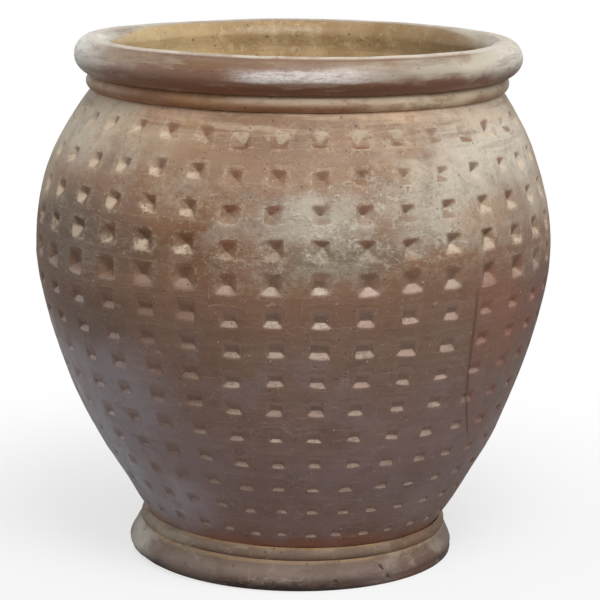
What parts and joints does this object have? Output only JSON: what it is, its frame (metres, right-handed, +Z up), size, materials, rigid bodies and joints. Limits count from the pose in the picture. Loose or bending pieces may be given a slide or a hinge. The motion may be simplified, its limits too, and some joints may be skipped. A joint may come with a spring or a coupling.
{
  "type": "ceramic flower pot",
  "caption": "Wide-bellied ceramic floor planter with a fat rolled rim, a collar, a half-round foot, a drain hole and rows of pressed square pyramid stamps.",
  "frame": {"origin": "centre of the flat ring that the pot rests on, at ground level", "axes": "+Z up along the pot's axis, -Y towards the viewer of the picture, +X to the viewer's right"},
  "size_m": [0.5, 0.5, 0.5069],
  "materials": {
    "foot_clay": "matte, dusty grey-ochre wash",
    "floor_clay": "matte ochre clay, unglazed",
    "foot_bead_clay": "matte, brown-grey wash",
    "lower_wall_clay": "satin dark purple-brown wash over pale stamps",
    "shoulder_clay": "matte tan and ash-grey wash, mottled",
    "collar_clay": "matte tan-brown wash",
    "rim_clay": "satin mauve-brown wash with grey ends"
  },
  "bodies": {
    "root": {"foot_ring": "foot_clay", "floor_slab": "floor_clay", "foot_bead": "foot_bead_clay", "lower_wall": "lower_wall_clay", "upper_wall": "shoulder_clay", "collar_bead": "collar_clay", "rim_roll": "rim_clay"}
  },
  "joints": []
}
